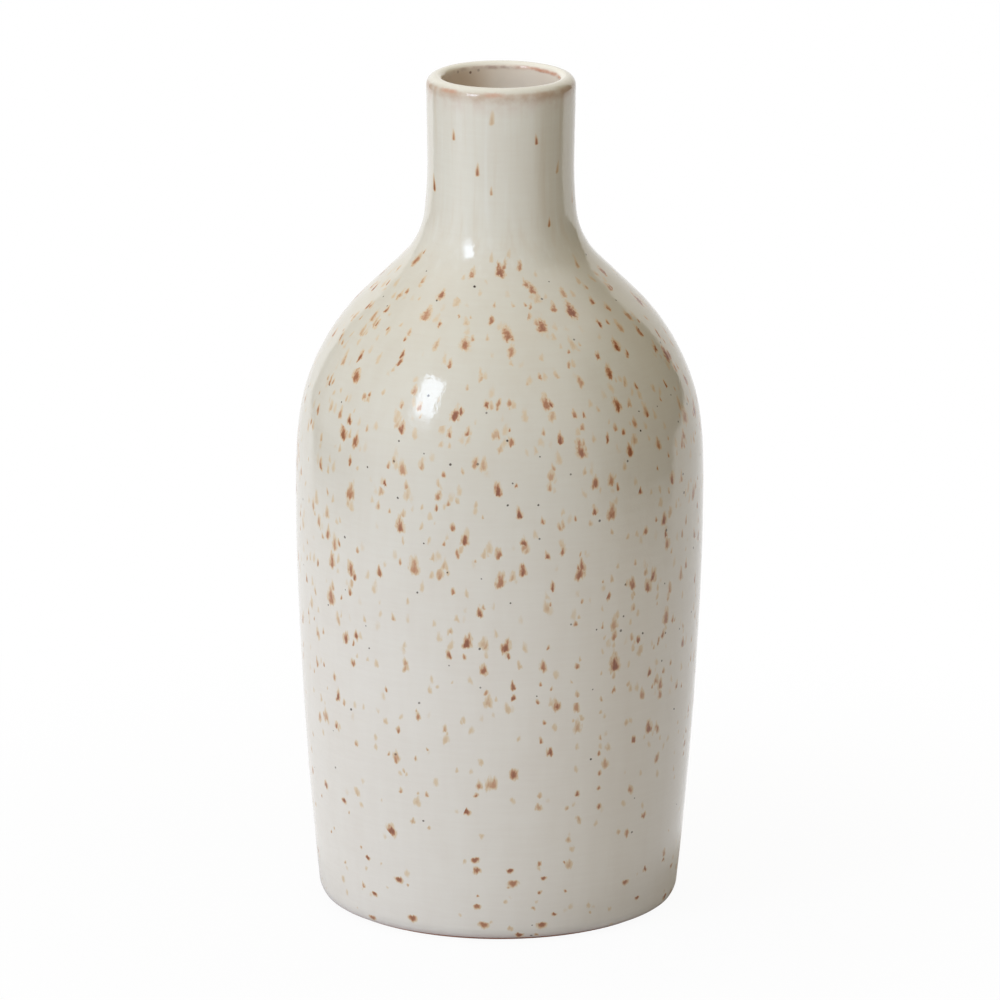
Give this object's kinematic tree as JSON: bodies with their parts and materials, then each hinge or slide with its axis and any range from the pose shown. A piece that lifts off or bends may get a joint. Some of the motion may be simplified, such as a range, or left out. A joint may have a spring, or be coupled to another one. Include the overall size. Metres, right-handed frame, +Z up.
{
  "type": "bottle vase",
  "caption": "Tall round bottle vase of glazed red clay with a full belly, sloping shoulder and narrow straight neck, for a few stems.",
  "frame": {"origin": "on the table, at the centre of the foot ring", "axes": "+Z up along the vase's axis of turning; X and Y lie in the table"},
  "size_m": [0.1208, 0.1208, 0.25],
  "materials": {
    "red_clay": "bare fired red clay, matt",
    "clay_slip": "fired red slip, matt",
    "speckled_glaze": "glossy cream glaze with rust-brown flecks",
    "liner_glaze": "glossy plain cream glaze"
  },
  "bodies": {
    "root": {"clay_body": "red_clay", "clay_neck": "red_clay", "luting_slip": "clay_slip", "outer_glaze": "speckled_glaze", "liner_glaze": "liner_glaze"}
  },
  "joints": []
}
